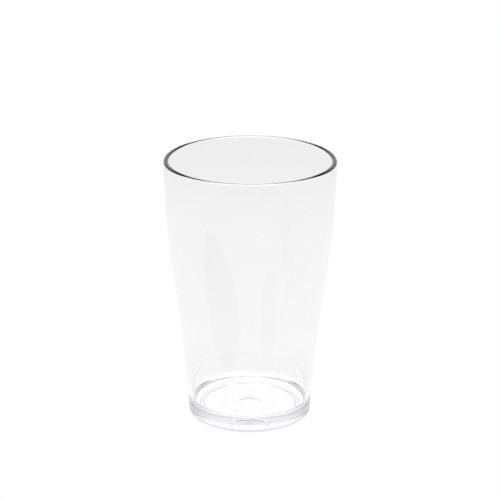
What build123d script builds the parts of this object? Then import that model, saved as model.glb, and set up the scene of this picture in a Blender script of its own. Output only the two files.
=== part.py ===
"""Clear moulded pint tumbler, one piece.

Millimetres, +Z up. The origin is the centre of the foot bead's resting plane, and the
tumbler is a body of revolution about Z. Sections are drawn on the XZ plane, where a local
point is (radius, height).
"""
import os
from math import cos, radians, sin, tan

from build123d import *

# outside wall
HEIGHT = 140.8             # resting plane to the top of the lip
FOOT_RADIUS = 32.2         # side wall carried down to the resting plane
FOOT_FLARE = 2.65          # degrees that the wall leans outwards at the foot
BEND_RADIUS = 38.95        # where the flare is steepest and the wall starts to turn upright
BEND_HEIGHT = 70.2
RIM_RADIUS = 44.6
HEEL_ROUND = 3.0           # rounding between the side wall and the underside
PARTING_HEIGHT = 6.5       # witness groove where the two halves of the mould met
PARTING_WIDTH = 0.8
PARTING_DEPTH = 0.08

# inside
WALL = 2.4                 # wall thickness, and so the width of the full-round lip
FLOOR_HEIGHT = 8.7         # inside floor above the resting plane
FLOOR_ROUND = 3.2          # fillet where the wall runs into the floor

# underside
BEAD_INNER = 24.5          # the low bead that the tumbler stands on
BEAD_OUTER = 26.4
BEAD_ROUND = 0.3
UNDERSIDE = 0.7            # height of the underside, each side of the bead
DISH_RADIUS = 6.0          # shallow dish round the point where the melt entered the mould
DISH_DEPTH = 1.2
PIP_RADIUS = 1.8           # low button left by the gate, in the middle of the dish
PIP_LENGTH = 0.3
PIP_ROUND = 0.15

# plain raised marks under the base
MARK_RADIUS = 14.5         # circle that the marks' centres sit on
MARK_HEIGHT = 0.12
BAR_COUNT = 12
BAR_LENGTH = 3.0           # along the radius
BAR_WIDTH = 0.8


def wall_arcs(foot, bend, rim, flare):
    """Two tangent arcs: the lower one flares out from the foot, the upper one turns upright."""
    lower = TangentArc(foot, bend, tangent=flare)
    upper = TangentArc(bend, rim, tangent=lower % 1)
    return lower, upper


def inset(arc, position, depth):
    """Point `depth` inside the wall, square to `arc` at `position` (0 to 1) along it."""
    along = arc % position
    return arc @ position + Vector(-along.Y, along.X) * depth


def wall_section():
    """The side wall at constant thickness, from the resting plane to its full-round lip."""
    flare = Vector(sin(radians(FOOT_FLARE)), cos(radians(FOOT_FLARE)))
    lip_round = WALL / 2
    outer = wall_arcs(Vector(FOOT_RADIUS, 0), Vector(BEND_RADIUS, BEND_HEIGHT),
                      Vector(RIM_RADIUS, HEIGHT - lip_round), flare)
    inner = wall_arcs(inset(outer[0], 0, WALL), inset(outer[0], 1, WALL),
                      inset(outer[1], 1, WALL), flare)
    lip_top = inset(outer[1], 1, lip_round) + (outer[1] % 1) * lip_round
    lip = ThreePointArc(outer[1] @ 1, lip_top, inner[1] @ 1)
    foot = Line(inner[0] @ 0, outer[0] @ 0)
    return make_face([*outer, lip, *inner, foot])


def block(radius, low, high):
    """Section of a disc on the axis, from height `low` to `high`."""
    return Pos(0, low) * Rectangle(radius, high - low, align=(Align.MIN, Align.MIN))


def round_corner(section, radius, height, size):
    """Round the section's corner nearest to (radius, height)."""
    corner = section.vertices().sort_by_distance((radius, height))[0]
    return fillet(corner, size)


def dish_section():
    """Shallow bowl cut upwards into the underside round the gate, level at the axis."""
    top = UNDERSIDE + DISH_DEPTH
    mouth = Line((0, UNDERSIDE), (DISH_RADIUS, UNDERSIDE))
    bowl = TangentArc((0, top), (DISH_RADIUS, UNDERSIDE), tangent=(1, 0))
    axis = Line((0, UNDERSIDE), (0, top))
    return make_face([mouth, bowl, axis])


def pip_section():
    """Round-edged button on the axis, from its flat end up into the dish."""
    top = UNDERSIDE + DISH_DEPTH
    end = top - PIP_LENGTH
    return round_corner(block(PIP_RADIUS, end, top), PIP_RADIUS, end, PIP_ROUND)


def parting_groove():
    """Disc that bites PARTING_DEPTH into the side wall and is PARTING_WIDTH across there."""
    radius = (PARTING_WIDTH ** 2 / 4 + PARTING_DEPTH ** 2) / (2 * PARTING_DEPTH)
    wall_radius = FOOT_RADIUS + PARTING_HEIGHT * tan(radians(FOOT_FLARE))
    return Pos(wall_radius + radius - PARTING_DEPTH, PARTING_HEIGHT) * Circle(radius)


def tumbler_section():
    """Half section of the whole tumbler."""
    underside = block(FOOT_RADIUS * 2, 0, UNDERSIDE)
    bead = block(BEAD_OUTER, 0, UNDERSIDE) - block(BEAD_INNER, 0, UNDERSIDE)
    section = wall_section() + block(FOOT_RADIUS, 0, FLOOR_HEIGHT) - underside
    section = section - dish_section() - parting_groove() + bead + pip_section()
    section = round_corner(section, FOOT_RADIUS, UNDERSIDE, HEEL_ROUND)
    for radius in (BEAD_INNER, BEAD_OUTER):
        for height in (0, UNDERSIDE):
            section = round_corner(section, radius, height, BEAD_ROUND)
    return round_corner(section, FOOT_RADIUS - WALL, FLOOR_HEIGHT, FLOOR_ROUND)


def marks():
    """Plain radial bars standing a little below the underside, even round the axis."""
    bar = Box(BAR_LENGTH, BAR_WIDTH, 2 * MARK_HEIGHT)
    return [Pos(0, 0, UNDERSIDE) * place * bar
            for place in PolarLocations(MARK_RADIUS, BAR_COUNT)]


def tumbler():
    """The moulding: the section turned about Z, with the marks on its underside."""
    body = revolve(Plane.XZ * tumbler_section(), Axis.Z, 360)
    return body + marks()


os.makedirs("parts", exist_ok=True)
part = tumbler()
print(f"solids {len(part.solids())}, volume {part.volume / 1000:.1f} cm3, size {part.bounding_box().size}")
export_step(part, "parts/tumbler.step")
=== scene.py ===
# %% [markdown]
# # A clear moulded pint tumbler
#
# The object is one moulding of clear plastic: a thick base, a wall that flares out and then
# turns upright, and a full-round lip. Nothing on it moves and nothing is fitted to it, so there
# is one piece to make. All the work is in its outline, and in what light does inside it. The
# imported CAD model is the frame, and this lesson builds the surface that is seen, in metres, in
# the same place.

# %% Load the frame
import math

import bpy
import numpy as np
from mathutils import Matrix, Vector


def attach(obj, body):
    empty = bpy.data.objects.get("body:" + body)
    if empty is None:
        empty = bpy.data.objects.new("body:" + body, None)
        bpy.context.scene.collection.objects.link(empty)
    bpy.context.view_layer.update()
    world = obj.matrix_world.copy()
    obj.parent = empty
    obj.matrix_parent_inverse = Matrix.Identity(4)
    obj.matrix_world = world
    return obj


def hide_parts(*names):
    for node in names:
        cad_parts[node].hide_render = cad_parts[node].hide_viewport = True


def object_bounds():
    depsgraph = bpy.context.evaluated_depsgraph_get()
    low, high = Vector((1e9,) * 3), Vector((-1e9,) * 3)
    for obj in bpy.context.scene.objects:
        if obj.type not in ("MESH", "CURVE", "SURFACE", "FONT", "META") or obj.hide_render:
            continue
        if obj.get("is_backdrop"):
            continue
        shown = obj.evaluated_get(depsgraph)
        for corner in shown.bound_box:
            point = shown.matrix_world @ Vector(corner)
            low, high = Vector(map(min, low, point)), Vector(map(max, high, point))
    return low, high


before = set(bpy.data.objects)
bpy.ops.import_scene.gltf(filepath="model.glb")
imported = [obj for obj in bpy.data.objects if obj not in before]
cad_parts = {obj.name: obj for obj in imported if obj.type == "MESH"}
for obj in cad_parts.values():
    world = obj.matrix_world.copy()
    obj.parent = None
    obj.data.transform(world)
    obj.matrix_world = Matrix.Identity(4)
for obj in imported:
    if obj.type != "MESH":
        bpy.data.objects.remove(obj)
cad_low, cad_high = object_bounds()
print("CAD box, in mm:", [round(v * 1000, 2) for v in (*cad_low, *cad_high)])

# %% [markdown]
# ## The tumbler's sizes
#
# A mould is cut to a short list of sizes, and these are the same ones that the CAD part was
# drawn with. Lengths are in metres, so each one is a number of millimetres times MM.

# %% Sizes of the wall
MM = 0.001
HEIGHT = 140.8 * MM           # table to the top of the lip
FOOT_RADIUS = 32.2 * MM       # side wall carried down to the table
FOOT_FLARE = 2.65             # degrees that the wall leans outwards at the foot
BEND_RADIUS = 38.95 * MM      # where the wall leans most, and starts to turn upright
BEND_HEIGHT = 70.2 * MM
RIM_RADIUS = 44.6 * MM
WALL = 2.4 * MM
print(f"height {HEIGHT / MM:.1f} mm, mouth {2 * RIM_RADIUS / MM:.1f} mm across")

# %% Sizes of the base
HEEL_ROUND = 3.0 * MM         # rounding between the side wall and the underside
PARTING_HEIGHT = 6.5 * MM     # witness groove where the two halves of the mould met
PARTING_WIDTH = 0.8 * MM
PARTING_DEPTH = 0.08 * MM
FLOOR_HEIGHT = 8.7 * MM
FLOOR_ROUND = 3.2 * MM        # fillet where the wall runs into the floor
BEAD_INNER = 24.5 * MM        # the low bead that the tumbler stands on
BEAD_OUTER = 26.4 * MM
BEAD_ROUND = 0.3 * MM
UNDERSIDE = 0.7 * MM          # height of the underside, each side of the bead
DISH_RADIUS = 6.0 * MM        # shallow dish round the gate
DISH_DEPTH = 1.2 * MM
PIP_RADIUS = 1.8 * MM         # low button that the gate left in the dish
PIP_LENGTH = 0.3 * MM
PIP_ROUND = 0.15 * MM
print(f"solid base {(FLOOR_HEIGHT - UNDERSIDE) / MM:.2f} mm thick")

# %% [markdown]
# ## Pieces of outline
#
# A turner thinks of this shape as one line spun about an upright axis. The line could be a
# spline through measured points, but a mould is cut with arcs, and arcs leave no ripples in the
# wall for light to find. So the line is a chain of arcs and straights. Each helper gives its
# points, as radius and height, together with the direction that the surface faces at each one.
# Those directions go to the mesh later, where they bend light exactly even on a coarse grid.

# %% Round and straight pieces


def round_arc(centre, radius, start, end, count, hollow=False):
    """Points at `radius` from `centre` between two angles in degrees.

    A point at angle a is the centre plus radius times (cos a, sin a). The surface faces away
    from the centre, or towards it where the arc is hollow.
    """
    angle = np.radians(np.linspace(start, end, count))
    facing = np.stack([np.cos(angle), np.sin(angle)], axis=1)
    return np.asarray(centre) + radius * facing, -facing if hollow else facing


def straight(start, end, count=2):
    """Even points from `start` to `end`, facing to the right of the way they run."""
    share = np.linspace(0, 1, count)[:, None]
    along = np.subtract(end, start) / math.dist(start, end)
    points = np.asarray(start) * (1 - share) + np.asarray(end) * share
    return points, np.tile([along[1], -along[0]], (count, 1))


def leaning_arc(start, lean, end, count):
    """Arc from `start` to `end` that sets off leaning outwards by `lean` degrees.

    A chord that leans c ends the arc leaning 2c - lean, and the radius is the chord over twice
    the sine of half the turn. Where the arc leans a, its point is the start plus radius times
    (cos lean - cos a, sin a - sin lean), and it faces (cos a, -sin a).
    """
    first = math.radians(lean)
    run, rise = np.subtract(end, start)
    last = 2 * math.atan2(run, rise) - first
    radius = math.hypot(run, rise) / (2 * math.sin((last - first) / 2))
    a = np.linspace(first, last, count)
    points = np.stack([start[0] + radius * (math.cos(first) - np.cos(a)),
                       start[1] + radius * (np.sin(a) - math.sin(first))], axis=1)
    return points, np.stack([np.cos(a), -np.sin(a)], axis=1), math.degrees(last)


print("a quarter turn in 3 points:", round_arc((0, 0), 1, 0, 90, 3)[0].round(2).tolist())

# %% [markdown]
# ## How finely each piece is drawn
#
# A tight round needs its points close together, and a straight needs only its two ends. The
# straights on the underside get a few more all the same, so that the faces turned from them
# stay compact, and the band that carries the raised marks gets enough to draw them.

# %% Points on each piece
WALL_POINTS = 12              # on each of the wall's two arcs
HEEL_POINTS = 16
GROOVE_POINTS = 9
LIP_POINTS = 29
FLOOR_ROUND_POINTS = 22
FLOOR_POINTS = 5
DISH_POINTS = 14
PIP_POINTS = 6
BEAD_ROUND_POINTS = 5
BEAD_FLAT_POINTS = 3
MARK_BAND_POINTS = 28
UNDERSIDE_POINTS = 4          # on each other straight of the underside
print(f"a point every {180 / (LIP_POINTS - 1):.1f} degrees round the lip")

# %% [markdown]
# ## The side wall
#
# The outside of the wall is two arcs that share their slope at the bend. The inside is the same
# line moved one wall thickness against the way it faces, which is how an even wall is drawn.
# The heel, the mould's parting groove and the floor's fillet take their bites out of it.

# %% Outer and inner wall
SAME_HEIGHT = 0.001 * MM      # heights nearer than this count as one


def wall_lines():
    """Outer wall from the table to the lip, its facing directions, and its lean at the lip."""
    low, low_facing, bend = leaning_arc((FOOT_RADIUS, 0), FOOT_FLARE,
                                        (BEND_RADIUS, BEND_HEIGHT), WALL_POINTS)
    high, high_facing, lip = leaning_arc((BEND_RADIUS, BEND_HEIGHT), bend,
                                         (RIM_RADIUS, HEIGHT - WALL / 2), WALL_POINTS)
    return np.vstack([low, high[1:]]), np.vstack([low_facing, high_facing[1:]]), lip


def stretch(line, facing, low, high=1.0):
    """The part of an upright line between two heights, cut exactly at them."""
    high = min(high, line[-1, 1])
    inside = (line[:, 1] > low + SAME_HEIGHT) & (line[:, 1] < high - SAME_HEIGHT)
    heights = np.concatenate([[low], line[inside, 1], [high]])
    radii, *sides = (np.interp(heights, line[:, 1], column)
                     for column in (line[:, 0], *facing.T))
    return np.stack([radii, heights], axis=1), np.stack(sides, axis=1)


def rounding(line, facing, radius, height):
    """Centre of a rounding that touches an upright line, and the way the line faces there.

    Every centre that is `radius` behind the line lies on a line of its own. The rounding's is
    the one at `height`.
    """
    centres = line - radius * facing
    at = [np.interp(height, centres[:, 1], column) for column in (centres[:, 0], *facing.T)]
    return np.array([at[0], height]), np.array(at[1:]) / math.hypot(*at[1:])


outer, outer_facing, lip_lean = wall_lines()
inner = outer - WALL * outer_facing
print(f"the wall leans {FOOT_FLARE} degrees at the foot and {lip_lean:.2f} at the lip")

# %% The outside, from the heel to the lip


def outside_runs():
    """Underside, heel, wall up to the parting groove, the groove, and the wall on to the lip.

    The heel touches the underside too, so its centre lies its own radius above it. The groove
    is the part of a small circle that dips PARTING_DEPTH below the wall.
    """
    heel_centre, heel_facing = rounding(outer, outer_facing, HEEL_ROUND,
                                        UNDERSIDE + HEEL_ROUND)
    heel_end = math.degrees(math.atan2(heel_facing[1], heel_facing[0]))
    wall_start = heel_centre[1] + HEEL_ROUND * heel_facing[1]
    at_groove, groove_facing = stretch(outer, outer_facing, PARTING_HEIGHT)
    radius = (PARTING_WIDTH ** 2 / 4 + PARTING_DEPTH ** 2) / (2 * PARTING_DEPTH)
    centre = at_groove[0] + (radius - PARTING_DEPTH) * groove_facing[0]
    half = math.degrees(math.asin(PARTING_WIDTH / 2 / radius))
    inwards = 180 + math.degrees(math.atan2(groove_facing[0, 1], groove_facing[0, 0]))
    groove = round_arc(centre, radius, inwards + half, inwards - half, GROOVE_POINTS, hollow=True)
    return [
        straight((BEAD_OUTER + BEAD_ROUND, UNDERSIDE), (heel_centre[0], UNDERSIDE),
                 UNDERSIDE_POINTS),
        round_arc(heel_centre, HEEL_ROUND, -90, heel_end, HEEL_POINTS),
        stretch(outer, outer_facing, wall_start, groove[0][0, 1]),
        groove,
        stretch(outer, outer_facing, groove[0][-1, 1]),
    ]


print("points on the outside's runs:", [len(run[0]) for run in outside_runs()])

# %% The lip and the inside


def inside_runs():
    """Half circle of the lip, inner wall down to the floor's fillet, fillet, and floor."""
    centre, facing = rounding(inner, outer_facing, FLOOR_ROUND, FLOOR_HEIGHT + FLOOR_ROUND)
    tilt = math.degrees(math.atan2(-facing[1], facing[0]))
    wall, wall_facing = stretch(inner, outer_facing, centre[1] + FLOOR_ROUND * facing[1])
    lip_centre = (outer[-1] + inner[-1]) / 2
    return [
        round_arc(lip_centre, WALL / 2, -lip_lean, 180 - lip_lean, LIP_POINTS),
        (wall[::-1], -wall_facing[::-1]),
        round_arc(centre, FLOOR_ROUND, -tilt, -90, FLOOR_ROUND_POINTS, hollow=True),
        straight((centre[0], FLOOR_HEIGHT), (0, FLOOR_HEIGHT), FLOOR_POINTS),
    ]


print("points on the inside's runs:", [len(run[0]) for run in inside_runs()])

# %% [markdown]
# ## The underside
#
# The tumbler stands on a low bead, so that only a narrow ring has to be flat. In the middle is
# a shallow dish round the place where the plastic was let into the mould, with the low button
# that the trimmed gate left. Seen through the thick base these steps are the fine rings and the
# soft dark eye, so they are real shape here and not drawn on.

# %% Gate, dish and bead
MARK_BAND = (12.6 * MM, 16.4 * MM)      # ring of the underside that carries the raised marks


def gate_runs():
    """Flat button on the axis, its rounded edge and side, and the dish round it."""
    top = UNDERSIDE + DISH_DEPTH
    end = top - PIP_LENGTH
    radius = (DISH_RADIUS ** 2 + DISH_DEPTH ** 2) / (2 * DISH_DEPTH)
    start, stop = (math.degrees(math.acos(r / radius)) for r in (PIP_RADIUS, DISH_RADIUS))
    dish = round_arc((0, top - radius), radius, start, stop, DISH_POINTS, hollow=True)
    return [
        straight((0, end), (PIP_RADIUS - PIP_ROUND, end), UNDERSIDE_POINTS),
        round_arc((PIP_RADIUS - PIP_ROUND, end + PIP_ROUND), PIP_ROUND, -90, 0, PIP_POINTS),
        straight((PIP_RADIUS, end + PIP_ROUND), dish[0][0]),
        dish,
    ]


def bead_runs():
    """Underside out to the bead, then the bead: two hollow corners and two round ones."""
    band_in, band_out = MARK_BAND
    inner_corner, flat_in = BEAD_INNER - BEAD_ROUND, BEAD_INNER + BEAD_ROUND
    flat_out, outer_corner = BEAD_OUTER - BEAD_ROUND, BEAD_OUTER + BEAD_ROUND
    step = UNDERSIDE - BEAD_ROUND
    count = BEAD_ROUND_POINTS
    return [
        straight((DISH_RADIUS, UNDERSIDE), (band_in, UNDERSIDE), UNDERSIDE_POINTS),
        straight((band_in, UNDERSIDE), (band_out, UNDERSIDE), MARK_BAND_POINTS),
        straight((band_out, UNDERSIDE), (inner_corner, UNDERSIDE), UNDERSIDE_POINTS),
        round_arc((inner_corner, step), BEAD_ROUND, 90, 0, count, hollow=True),
        round_arc((flat_in, BEAD_ROUND), BEAD_ROUND, 180, 270, count),
        straight((flat_in, 0), (flat_out, 0), BEAD_FLAT_POINTS),
        round_arc((flat_out, BEAD_ROUND), BEAD_ROUND, 270, 360, count),
        round_arc((outer_corner, step), BEAD_ROUND, 180, 90, count, hollow=True),
    ]


print("points on the underside's runs:", [len(run[0]) for run in gate_runs() + bead_runs()])

# %% [markdown]
# ## Joining the pieces of outline
#
# Where two runs meet smoothly they share a point. Where they meet at a sharp corner the surface
# faces two ways at once, and a point can only face one way. So there the second run's point
# moves a hair along its own run, and the corner stays crisp: without it, the change would be
# smeared over the whole next strip, and clear plastic shows that as a false lens.

# %% The whole outline
SAME_POINT = 0.0001 * MM      # points nearer than this are one
CORNER = 0.02 * MM            # how far the second point of a sharp corner moves along
SMOOTH = math.cos(math.radians(3))      # facings closer than 3 degrees meet smoothly


def tumbler_outline():
    """All the runs in one line, from the axis underneath round to the axis on the floor."""
    runs = gate_runs() + bead_runs() + outside_runs() + inside_runs()
    points = np.vstack([run[0] for run in runs])
    facing = np.vstack([run[1] for run in runs])
    steps = np.diff(points, axis=0)
    met = np.flatnonzero(np.hypot(*steps.T) < SAME_POINT) + 1
    smooth = (facing[met] * facing[met - 1]).sum(axis=1) > SMOOTH
    sharp = met[~smooth]
    points[sharp] += CORNER * steps[sharp] / np.hypot(*steps[sharp].T)[:, None]
    return np.delete(points, met[smooth], axis=0), np.delete(facing, met[smooth], axis=0)


outline, outline_facing = tumbler_outline()
print(len(outline), "points; lip top", round(outline[:, 1].max() / MM, 3), "mm")

# %% [markdown]
# ## Turning the outline
#
# Blender's Spin or Screw would turn this line too. A grid of rings worked out in one go is just
# as short, closes each pole with a single point, and lets the marks be raised on it before
# anything becomes a mesh. The grid has one row for each point of the outline and one column for
# each step round the axis.

# %% Grid of rings
AROUND = 480                  # columns in the grid, one every 0.75 degrees


def even_turns(count):
    """Angles of `count` even steps once round: step j is 2 pi j / count."""
    return np.arange(count) * 2 * math.pi / count


def turned_grid(points, facing, around):
    """Rows of points and of facing directions.

    Each column is at its own turn t, and a point (r, z) goes to (r cos t, r sin t, z).
    """
    turn = even_turns(around)
    spin = np.stack([np.cos(turn), np.sin(turn), np.ones(around)], axis=1)
    return points[:, [0, 0, 1]][:, None] * spin, facing[:, [0, 0, 1]][:, None] * spin


grid, grid_facing = turned_grid(outline, outline_facing, AROUND)
print("grid", grid.shape[:2])

# %% [markdown]
# ## Raised marks
#
# A moulder puts small marks under the base. Plain bars stand in for them here, even round the
# axis. They are raised by moving the grid's own points, because a separate bar pushed into
# clear plastic would show its buried half.

# %% Bars under the base
MARK_RADIUS = 14.5 * MM
MARK_HEIGHT = 0.12 * MM
BAR_COUNT = 12
BAR_LENGTH = 3.0 * MM         # along the radius
BAR_WIDTH = 0.8 * MM
BAR_EDGE = 0.25 * MM          # width of the slope at a bar's edge


def bar_height(points):
    """Height of the bars at each point: 1 on a bar, 0 off it, and a smooth slope between.

    Inside the nearest bar's frame, u runs along the radius from its middle and v across it.
    The slope is s*s*(3 - 2s), where s is the distance inside the nearer edge over BAR_EDGE.
    """
    radius = np.hypot(points[..., 0], points[..., 1])
    pitch = 2 * math.pi / BAR_COUNT
    angle = np.arctan2(points[..., 1], points[..., 0])
    off = angle - np.round(angle / pitch) * pitch
    u, v = radius * np.cos(off) - MARK_RADIUS, radius * np.sin(off)
    within = np.minimum(BAR_LENGTH / 2 - np.abs(u), BAR_WIDTH / 2 - np.abs(v))
    s = np.clip(within / BAR_EDGE, 0, 1)
    return s * s * (3 - 2 * s)


def raise_marks(points, facing, rows, fine=0.02 * MM):
    """Lower the underside's rows by the bars, and tilt the way they face to match.

    The slope is the height's change over a small step along X and along Y.
    """
    flat = points[rows]
    along_x, along_y = ((bar_height(flat + step) - bar_height(flat - step)) / (2 * fine)
                        for step in (np.array([fine, 0, 0]), np.array([0, fine, 0])))
    points[rows, :, 2] -= MARK_HEIGHT * bar_height(flat)
    tilt = np.stack([-MARK_HEIGHT * along_x, -MARK_HEIGHT * along_y,
                     -np.ones_like(along_x)], axis=-1)
    facing[rows] = tilt / np.linalg.norm(tilt, axis=-1, keepdims=True)


level = np.abs(outline[:, 1] - UNDERSIDE) < SAME_POINT
in_band = (outline[:, 0] > MARK_BAND[0]) & (outline[:, 0] < MARK_BAND[1])
marked = np.flatnonzero(level & in_band)
raise_marks(grid, grid_facing, marked)
print(BAR_COUNT, "bars on", len(marked), "rings")

# %% [markdown]
# ## From grid to mesh
#
# The first and the last row lie on the axis, so each becomes one point with a fan of triangles,
# and the surface is closed. Every other cell is a four-sided face, wound so that it faces out
# of the plastic.

# %% Build the tumbler


def closed_mesh(name, points, facing):
    """Mesh of a turned grid whose first and last rows are the poles.

    Row i and column j of the rest is vertex i * around + j. A cell joins it to the next
    column and the next row, and the poles' two points come last.
    """
    rows, around = points.shape[:2]
    vertices = np.vstack([points[1:-1].reshape(-1, 3), points[:1, 0], points[-1:, 0]])
    normals = np.vstack([facing[1:-1].reshape(-1, 3), [[0, 0, -1], [0, 0, 1]]])
    column = np.arange(around)
    beside = np.roll(column, -1)
    first = (np.arange(rows - 3) * around)[:, None]
    last = (rows - 3) * around
    bottom, top = len(vertices) - 2, len(vertices) - 1
    cells = np.stack([first + column, first + beside, first + around + beside,
                      first + around + column], axis=2).reshape(-1, 4)
    under = np.stack([np.full(around, bottom), beside, column], axis=1)
    over = np.stack([np.full(around, top), last + column, last + beside], axis=1)
    mesh = bpy.data.meshes.new(name)
    mesh.from_pydata(vertices.tolist(), [], [*cells.tolist(), *under.tolist(), *over.tolist()])
    mesh.polygons.foreach_set("use_smooth", np.ones(len(mesh.polygons), dtype=bool))
    mesh.normals_split_custom_set_from_vertices(normals)
    mesh.update()
    return mesh


def place(name, mesh):
    """Object of `mesh` in the scene, at the origin and unturned."""
    thing = bpy.data.objects.new(name, mesh)
    bpy.context.scene.collection.objects.link(thing)
    return thing


tumbler_mesh = closed_mesh("tumbler_shell", grid, grid_facing)
tumbler = place("tumbler_shell", tumbler_mesh)
print("triangles:", sum(len(face.vertices) - 2 for face in tumbler_mesh.polygons))

# %% [markdown]
# ## Clear plastic
#
# This plastic bends light more than window glass does, so more of it is trapped at the lip and
# in the base, and those places turn dark. Light that has come a long way through it is a
# little slate blue, which the absorption inside the body gives: a thin wall stays clear, and
# the edges take the colour.
#
# A flawless surface looks computed, though. Plastic that flowed into a mould keeps a very
# slight waviness, which bends the fine lines in the base a little, and the tumbler slides on
# its bead, which is scuffed dull. Both could be painted textures. Noise on the object's own
# coordinates needs no image and no unwrapping, and it stays put on the surface.

# %% Flow ripples and scuffs
RIPPLE_SCALE = 45             # ripples to a metre
RIPPLE_HEIGHT = 0.01 * MM
RIPPLE_DETAIL = 1             # finer noise laid over the first: hardly any
SCUFF_SCALE = 900
SCUFF_ROUGHNESS = 0.35        # of the bead's flat, where it has been slid about
SCUFF_HEIGHT = 0.25 * MM      # above the table, where the scuffs have died out


def flow_ripples(tree, where):
    """Normal bent by the slope of a smooth noise, RIPPLE_HEIGHT from crest to hollow."""
    noise = tree.nodes.new("ShaderNodeTexNoise")
    noise.inputs["Scale"].default_value = RIPPLE_SCALE
    noise.inputs["Detail"].default_value = RIPPLE_DETAIL
    bump = tree.nodes.new("ShaderNodeBump")
    bump.inputs["Distance"].default_value = RIPPLE_HEIGHT
    tree.links.new(where, noise.inputs["Vector"])
    tree.links.new(noise.outputs["Fac"], bump.inputs["Height"])
    return bump.outputs["Normal"]


def bead_scuffs(tree, where):
    """Roughness: 0 from SCUFF_HEIGHT up, and below it a fine noise, most at the table."""
    part = tree.nodes.new("ShaderNodeSeparateXYZ")
    fade = tree.nodes.new("ShaderNodeMapRange")
    fade.inputs["From Min"].default_value = 0
    fade.inputs["From Max"].default_value = SCUFF_HEIGHT
    fade.inputs["To Min"].default_value = SCUFF_ROUGHNESS
    fade.inputs["To Max"].default_value = 0
    noise = tree.nodes.new("ShaderNodeTexNoise")
    noise.inputs["Scale"].default_value = SCUFF_SCALE
    dull = tree.nodes.new("ShaderNodeMath")
    dull.operation = "MULTIPLY"
    tree.links.new(where, part.inputs["Vector"])
    tree.links.new(where, noise.inputs["Vector"])
    tree.links.new(part.outputs["Z"], fade.inputs["Value"])
    tree.links.new(fade.outputs["Result"], dull.inputs[0])
    tree.links.new(noise.outputs["Fac"], dull.inputs[1])
    return dull.outputs["Value"]


print(f"scuffs die out {SCUFF_HEIGHT / MM} mm above the table")

# %% Plastic material
PLASTIC_IOR = 1.585
SURFACE_TINT = (0.995, 0.993, 0.998, 1)
BODY_COLOUR = (0.50, 0.53, 0.79, 1)     # what deep plastic fades towards
BODY_DENSITY = 2.0                      # how soon, per metre


def clear_plastic():
    """Fully transmitting surface over a body that takes a little red and green."""
    material = bpy.data.materials.new("clear_plastic")
    material.use_nodes = True
    tree = material.node_tree
    where = tree.nodes.new("ShaderNodeTexCoord").outputs["Object"]
    shader = tree.nodes["Principled BSDF"]
    shader.inputs["Base Color"].default_value = SURFACE_TINT
    shader.inputs["Transmission Weight"].default_value = 1
    shader.inputs["IOR"].default_value = PLASTIC_IOR
    tree.links.new(bead_scuffs(tree, where), shader.inputs["Roughness"])
    tree.links.new(flow_ripples(tree, where), shader.inputs["Normal"])
    body = tree.nodes.new("ShaderNodeVolumeAbsorption")
    body.inputs["Color"].default_value = BODY_COLOUR
    body.inputs["Density"].default_value = BODY_DENSITY
    tree.links.new(body.outputs["Volume"], tree.nodes["Material Output"].inputs["Volume"])
    return material


tumbler_mesh.materials.append(clear_plastic())
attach(tumbler, "root")
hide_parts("tumbler")
print("tumbler rides on root in place of its CAD node")

# %% [markdown]
# ## Light that is white to the eye
#
# A clear thing shows as the places where light fails to come through it, so its surroundings
# matter more than its own colour. Lamps shining on a white sheet would do, but their light is
# slow to find its way through the plastic. Here the surroundings glow by themselves, which
# gives a calm picture in few samples. A bright sweep burns out to plain white, so that is what
# the camera gets directly, while the plastic bends and mirrors the dimmer glow.

# %% Glow that follows a ramp


def bare_nodes(block):
    """Emptied node tree of a material or a world."""
    block.use_nodes = True
    block.node_tree.nodes.clear()
    return block.node_tree


def ramp(tree, source, stops):
    """Colour that passes through `stops`, pairs of (source value, brightness).

    Returns the colour socket and the number that it must be multiplied by.
    """
    span = stops[-1][0]
    peak = max(value for _, value in stops)
    scale = tree.nodes.new("ShaderNodeMapRange")
    scale.inputs["From Max"].default_value = span
    tree.links.new(source, scale.inputs["Value"])
    node = tree.nodes.new("ShaderNodeValToRGB")
    elements = node.color_ramp.elements
    elements[1].position = 1
    for reach, _ in stops[1:-1]:
        elements.new(reach / span)
    for element, (_, value) in zip(elements, stops):
        element.color = (value / peak, value / peak, value / peak, 1)
    tree.links.new(scale.outputs["Result"], node.inputs["Fac"])
    return node.outputs["Color"], peak


def white_to_camera(tree, kind, colour, strength, output):
    """Send `colour` to everything but the camera's own rays, which get plain white."""
    glow, white = tree.nodes.new(kind), tree.nodes.new(kind)
    glow.inputs["Strength"].default_value = strength
    tree.links.new(colour, glow.inputs["Color"])
    white.inputs["Color"].default_value = (1, 1, 1, 1)
    seen = tree.nodes.new("ShaderNodeLightPath")
    pick = tree.nodes.new("ShaderNodeMixShader")
    tree.links.new(seen.outputs["Is Camera Ray"], pick.inputs["Fac"])
    tree.links.new(glow.outputs[0], pick.inputs[1])
    tree.links.new(white.outputs[0], pick.inputs[2])
    tree.links.new(pick.outputs["Shader"], output.inputs["Surface"])


print("ready: a glow by a ramp, and white for the camera")

# %% [markdown]
# ## Lit table
#
# The tumbler stands on a table that is a lamp itself. Its light is strongest close in, where it
# comes up through the base. Further out it fades, and the front of the wall mirrors that fading
# as a soft grey. A plane with a lamp under it would need a second material and more samples, so
# one disc both shows and glows.

# %% Table
TABLE_RADIUS = 9.0            # metres
TABLE_EDGES = 128
TABLE_DROP = 0.01 * MM        # hair's breadth of air under the bead
# distance from the tumbler's axis in metres, and brightness there
TABLE_GLOW = [(0, 1.10), (0.045, 1.10), (0.056, 0.95), (0.12, 0.95), (0.2, 0.945), (0.3, 0.93),
              (0.38, 0.905), (0.46, 0.87), (0.75, 0.85), (1.5, 0.80)]


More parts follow.
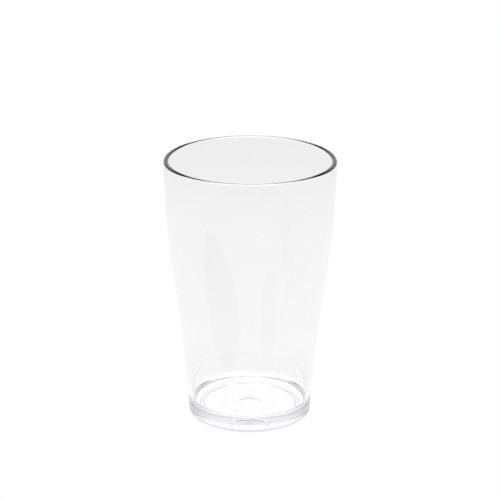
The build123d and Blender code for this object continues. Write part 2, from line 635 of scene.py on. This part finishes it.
def lit_table():
    """Disc that glows by its distance from the tumbler."""
    turn = even_turns(TABLE_EDGES)
    ring = np.stack([np.cos(turn) * TABLE_RADIUS, np.sin(turn) * TABLE_RADIUS,
                     np.full(TABLE_EDGES, -TABLE_DROP)], axis=1)
    mesh = bpy.data.meshes.new("table")
    mesh.from_pydata(ring.tolist(), [], [list(range(TABLE_EDGES))])
    material = bpy.data.materials.new("table_glow")
    tree = bare_nodes(material)
    where = tree.nodes.new("ShaderNodeTexCoord")
    reach = tree.nodes.new("ShaderNodeVectorMath")
    reach.operation = "LENGTH"
    tree.links.new(where.outputs["Object"], reach.inputs[0])
    colour, peak = ramp(tree, reach.outputs["Value"], TABLE_GLOW)
    white_to_camera(tree, "ShaderNodeEmission", colour, peak,
                    tree.nodes.new("ShaderNodeOutputMaterial"))
    mesh.materials.append(material)
    return place("table", mesh)


lit_table()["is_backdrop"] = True
print("table glows", TABLE_GLOW[0][1], "in the middle and", TABLE_GLOW[-1][1], "far out")

# %% [markdown]
# ## Room
#
# Behind the tumbler hangs a pale backdrop, and above and beside it the room is dim. The lip and
# the heel bend light from all round, so it is the dim parts that draw their dark lines. An
# image of a real studio would light it as well, but two short ramps say the same and can be
# read: one by how high a direction points, and one by how far it points away from the camera.

# %% Dim room with a pale backdrop
# sine of a direction's elevation, and brightness there
ROOM_GLOW = [(0, 0.8), (0.17, 0.8), (0.31, 0.9), (0.37, 0.92), (0.46, 0.92), (0.56, 0.3),
             (1, 0.12)]
# 0 towards the camera, 0.5 to either side, 1 towards the backdrop, and the share left there
ROOM_SIDES = [(0, 0.4), (0.5, 0.42), (0.65, 0.5), (0.8, 0.8), (0.9, 1.0), (1, 1.0)]
ROOM_TINT = (0.985, 0.97, 1.0)
BOUNCES = 64                  # light that is trapped in the lip turns many corners


def product(tree, colour, factor):
    """Colour times `factor`, which is a colour socket or three plain numbers."""
    times = tree.nodes.new("ShaderNodeVectorMath")
    times.operation = "MULTIPLY"
    tree.links.new(colour, times.inputs[0])
    if isinstance(factor, tuple):
        times.inputs[1].default_value = factor
    else:
        tree.links.new(factor, times.inputs[1])
    return times.outputs["Vector"]


def room():
    """World whose glow is ROOM_GLOW by height, times ROOM_SIDES by side, times ROOM_TINT."""
    world = bpy.data.worlds.new("room")
    tree = bare_nodes(world)
    where = tree.nodes.new("ShaderNodeTexCoord")
    part = tree.nodes.new("ShaderNodeSeparateXYZ")
    tree.links.new(where.outputs["Generated"], part.inputs["Vector"])
    colour, peak = ramp(tree, part.outputs["Z"], ROOM_GLOW)
    forward = tree.nodes.new("ShaderNodeMapRange")
    forward.inputs["From Min"].default_value = -1
    tree.links.new(part.outputs["Y"], forward.inputs["Value"])
    side, _ = ramp(tree, forward.outputs["Result"], ROOM_SIDES)
    tinted = product(tree, product(tree, colour, side), ROOM_TINT)
    white_to_camera(tree, "ShaderNodeBackground", tinted, peak,
                    tree.nodes.new("ShaderNodeOutputWorld"))
    return world


bpy.context.scene.world = room()
bpy.context.scene.view_settings.view_transform = "Standard"
for kind in ("max_bounces", "transmission_bounces", "glossy_bounces"):
    setattr(bpy.context.scene.cycles, kind, BOUNCES)
print("room: dimmest", ROOM_GLOW[-1][1], "overhead; up to", BOUNCES, "bounces of light")

# %% [markdown]
# ## Softbox and things about the table
#
# The white line along the lip is a mirror image of the lamp overhead, so it needs a lamp with
# a shape: a wide glowing card. A second, dimmer card round it stands for the ceiling that the
# lamp lights. A smooth wall also mirrors, very faintly, whatever lies about in front of it, and
# a few flat cards on the table stand for that clutter. An area lamp would do for the first, but
# a card keeps its even edge in a mirror, and one helper then makes them all. The lamp and the
# clutter are seen by reflection only, since they are there for the marks that they leave on
# the plastic. The ceiling is also seen through it.

# %% Lamp and ceiling


def glowing_card(name, corners, colour, strength):
    """Flat card through `corners` that glows and that the camera doesn't see directly."""
    mesh = bpy.data.meshes.new(name)
    mesh.from_pydata(np.asarray(corners).tolist(), [], [list(range(len(corners)))])
    material = bpy.data.materials.new(name)
    tree = bare_nodes(material)
    glow = tree.nodes.new("ShaderNodeEmission")
    glow.inputs["Color"].default_value = (*colour, 1)
    glow.inputs["Strength"].default_value = strength
    tree.links.new(glow.outputs["Emission"],
                   tree.nodes.new("ShaderNodeOutputMaterial").inputs["Surface"])
    mesh.materials.append(material)
    card = place(name, mesh)
    card.visible_camera = False
    card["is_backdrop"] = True
    return card


def hung_card(name, elevation, distance, width, height, strength):
    """White card before and above the tumbler, turned to face its middle.

    Its middle is `distance` metres from the tumbler's, at `elevation` degrees.
    """
    lift = math.radians(elevation)
    back = np.array([0, -math.cos(lift), math.sin(lift)])
    side = np.array([1, 0, 0])
    centre = back * distance + [0, 0, HEIGHT / 2]
    corners = [centre + side * sx * width / 2 + np.cross(back, side) * sy * height / 2
               for sx, sy in ((-1, -1), (1, -1), (1, 1), (-1, 1))]
    return glowing_card(name, corners, (1, 1, 1), strength)


lamp = hung_card("softbox", elevation=75, distance=1.8, width=2.4, height=1.4, strength=4)
lamp.visible_transmission = False
hung_card("ceiling", elevation=68, distance=2.0, width=3.2, height=1.7, strength=1.8)
print("a lamp and a patch of ceiling hang over the front of the table")

# %% Clutter in front
CARD_LIFT = 1 * MM            # above the table
CARD_EDGES = 64


def lying_card(name, centre, half_length, half_width, turn, colour):
    """Oval card on the table that only reflections show, turned by `turn` degrees about Z.

    At angle t its edge is the centre plus (half_length cos t, half_width sin t), turned.
    """
    t = even_turns(CARD_EDGES)
    along, across = half_length * np.cos(t), half_width * np.sin(t)
    c, s = math.cos(math.radians(turn)), math.sin(math.radians(turn))
    edge = np.stack([centre[0] + c * along - s * across, centre[1] + s * along + c * across,
                     np.full(CARD_EDGES, CARD_LIFT)], axis=1)
    glowing_card(name, edge, colour, strength=1).visible_transmission = False


lying_card("card_warm", centre=(0.02, -0.64), half_length=0.56, half_width=0.30, turn=0,
           colour=(0.88, 0.64, 0.50))
lying_card("card_leaf", centre=(-0.13, -0.13), half_length=0.105, half_width=0.06, turn=20,
           colour=(0.40, 0.38, 0.39))
lying_card("card_small", centre=(0.07, -0.135), half_length=0.055, half_width=0.028, turn=-60,
           colour=(0.60, 0.58, 0.59))
lying_card("card_strip", centre=(0.21, -0.19), half_length=0.13, half_width=0.035, turn=-55,
           colour=(0.74, 0.71, 0.73))
print("four cards lie in front of the tumbler")

# %% [markdown]
# ## Camera
#
# A wide lens close by would make the mouth look much bigger than the foot. A long lens about a
# metre away keeps the tumbler's own proportions, and from a little above it shows the mouth as
# an oval, with the base seen through the floor.

# %% Camera
CAMERA_ELEVATION = 20.25      # degrees above level, seen from the tumbler's middle
CAMERA_DISTANCE = 24.5 * RIM_RADIUS
CAMERA_LENS = 149.8           # millimetres, as lenses are sold
CAMERA_SENSOR = 36.0          # millimetres
AIM_UP = 1.03                 # degrees that the lens points above the tumbler's middle
CAMERA_ROLL = 0.16            # degrees


def stand_camera():
    """Camera in front of the tumbler, at its elevation above the tumbler's middle."""
    data = bpy.data.cameras.new("camera")
    data.sensor_width = CAMERA_SENSOR
    data.lens = CAMERA_LENS
    camera = place("camera", data)
    lift = math.radians(CAMERA_ELEVATION)
    camera.location = (0, -CAMERA_DISTANCE * math.cos(lift),
                       HEIGHT / 2 + CAMERA_DISTANCE * math.sin(lift))
    camera.rotation_euler = (math.radians(90 - CAMERA_ELEVATION + AIM_UP), 0, 0)
    camera.rotation_euler.rotate_axis("Z", math.radians(CAMERA_ROLL))
    return camera


bpy.context.scene.camera = stand_camera()
print("camera", round(CAMERA_DISTANCE, 3), "m away")

# %% Print how far the visual box lies from the CAD box, and finish
seen_low, seen_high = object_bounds()
gaps = [round((a - b) / MM, 3) for a, b in zip((*seen_low, *seen_high), (*cad_low, *cad_high))]
print("visual box minus CAD box, in mm:", gaps)
